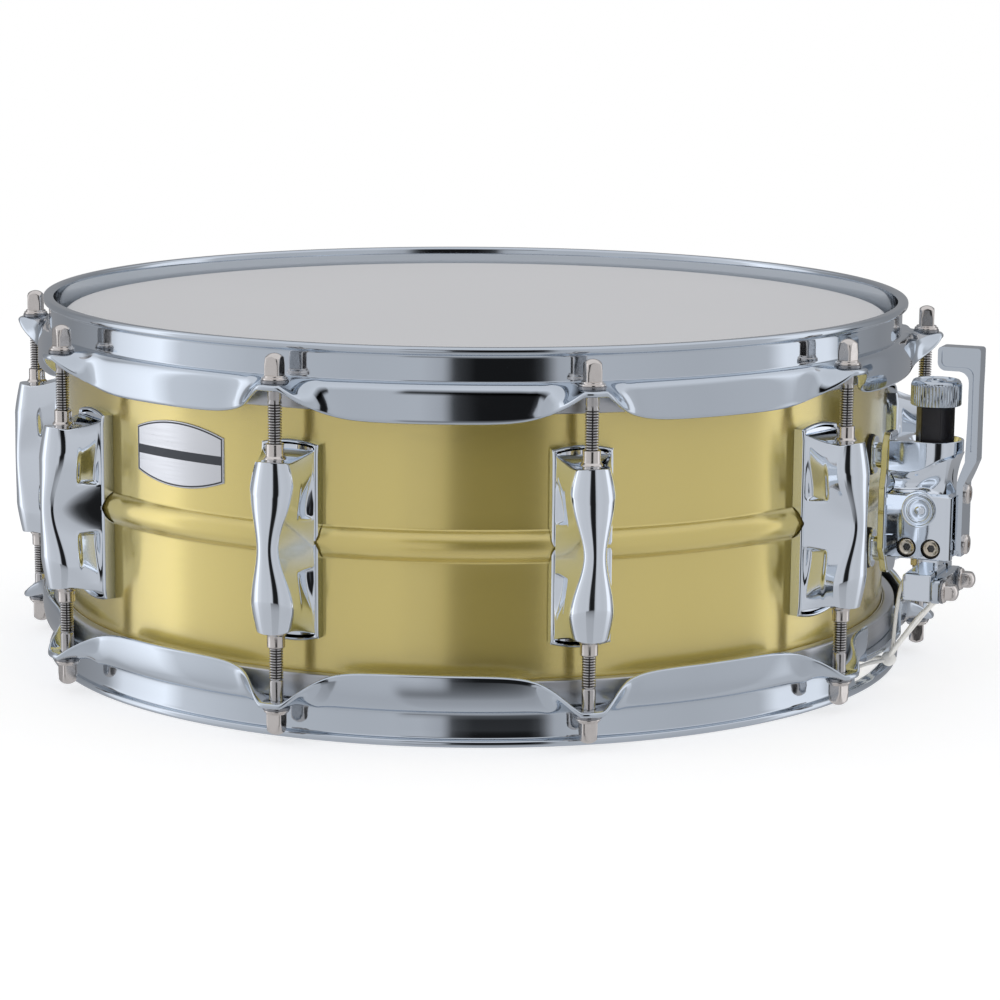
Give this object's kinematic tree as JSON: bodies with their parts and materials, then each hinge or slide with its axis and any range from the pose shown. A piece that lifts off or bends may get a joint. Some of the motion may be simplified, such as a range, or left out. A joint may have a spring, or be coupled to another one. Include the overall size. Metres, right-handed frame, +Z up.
{
  "type": "snare drum",
  "caption": "Metal-shell snare drum with pressed hoops, double-ended tension lugs, adjustable side throw-off, butt clamp and coiled snare wires.",
  "frame": {"origin": "drum axis at the plane of the lower rim, the surface the drum rests on", "axes": "+Z up along the drum axis to the batter side; +X out through the throw-off; the butt end is on -X"},
  "size_m": [0.4313, 0.4086, 0.1546],
  "materials": {
    "brass_shell": "brushed, clear-lacquered brass",
    "chrome": "polished chrome plate",
    "nickel": "bright nickel plate, slightly warm",
    "plated_steel": "zinc-plated steel",
    "flesh_aluminium": "satin extruded aluminium",
    "coated_film": "rough white coating on polyester film",
    "clear_film": "thin hazy polyester film",
    "badge_metal": "brushed plate with printed dark band and border line",
    "black_rubber": "matt black rubber",
    "black_plastic": "satin black moulded nylon",
    "nylon_cord": "white nylon cord, slightly translucent",
    "steel_wire": "bright coiled steel wire",
    "brass_plate": "satin brass"
  },
  "bodies": {
    "root": {"shell": "brass_shell", "badge": "badge_metal", "vent_grommet": "chrome", "batter_head": "coated_film", "batter_flesh_hoop": "flesh_aluminium", "batter_hoop": "chrome", "snare_head": "clear_film", "snare_flesh_hoop": "flesh_aluminium", "snare_hoop": "chrome", "lug_1": "chrome", "lug_2": "chrome", "lug_3": "chrome", "lug_4": "chrome", "lug_5": "chrome", "lug_6": "chrome", "lug_7": "chrome", "lug_8": "chrome", "lug_9": "chrome", "lug_10": "chrome", "lug_screws": "plated_steel", "lug_washers": "plated_steel", "swivel_nuts": "nickel", "tension_rods_top": "nickel", "tension_rods_bottom": "nickel", "rod_washers_top": "plated_steel", "rod_washers_bottom": "plated_steel", "strainer_bracket": "chrome", "strainer_gaskets": "black_rubber", "strainer_mount_screws": "plated_steel", "strainer_casing": "chrome", "casing_screws": "nickel", "emblem_disc": "chrome", "lever_pin": "plated_steel", "butt_body": "chrome", "butt_gasket": "black_rubber", "butt_mount_screws": "plated_steel", "butt_clamp_plate": "chrome", "butt_bolts": "nickel", "butt_bolt_washers": "plated_steel", "butt_cords": "nylon_cord"},
    "lever": {"lever": "chrome", "lever_rivets": "nickel"},
    "carrier": {"hex_stem": "black_plastic"},
    "knob": {"knob": "chrome", "spindle": "plated_steel"},
    "clamp": {"clamp_block": "chrome", "clamp_plate": "chrome", "clamp_bolts": "nickel", "clamp_bolt_washers": "plated_steel"},
    "snares": {"strainer_cords": "nylon_cord", "snare_plate_strainer": "brass_plate", "snare_wires": "steel_wire", "snare_plate_butt": "brass_plate"}
  },
  "joints": [
    {"name": "lever_throw", "type": "hinge", "parent": "root", "child": "lever", "pos_m": [0.2142, 0, 0.06], "axis": [0, 1, 0], "range_deg": [0, 90]},
    {"name": "carrier_slide", "type": "slide", "parent": "root", "child": "carrier", "axis": [0, 0, -1], "range_m": [0, 0.008]},
    {"name": "knob_turn", "type": "hinge", "parent": "carrier", "child": "knob", "pos_m": [0.2052, 0, 0.118], "axis": [0, 0, 1], "range_deg": [-1080, 1080]},
    {"name": "clamp_adjust", "type": "slide", "parent": "carrier", "child": "clamp", "axis": [0, 0, 1], "range_m": [-0.003, 0.003]},
    {"name": "snare_drop", "type": "hinge", "parent": "root", "child": "snares", "pos_m": [-0.165, 0, 0.005], "axis": [0, 1, 0], "range_deg": [0, 0.6], "deforming": ["strainer_cords"]}
  ],
  "couplings": [
    {"joint": "lever_throw", "follows": "carrier_slide", "rad_per_m": 196.35},
    {"joint": "snare_drop", "follows": "carrier_slide", "rad_per_m": 1.309},
    {"joint": "knob_turn", "follows": "clamp_adjust", "rad_per_m": 6283.1}
  ]
}
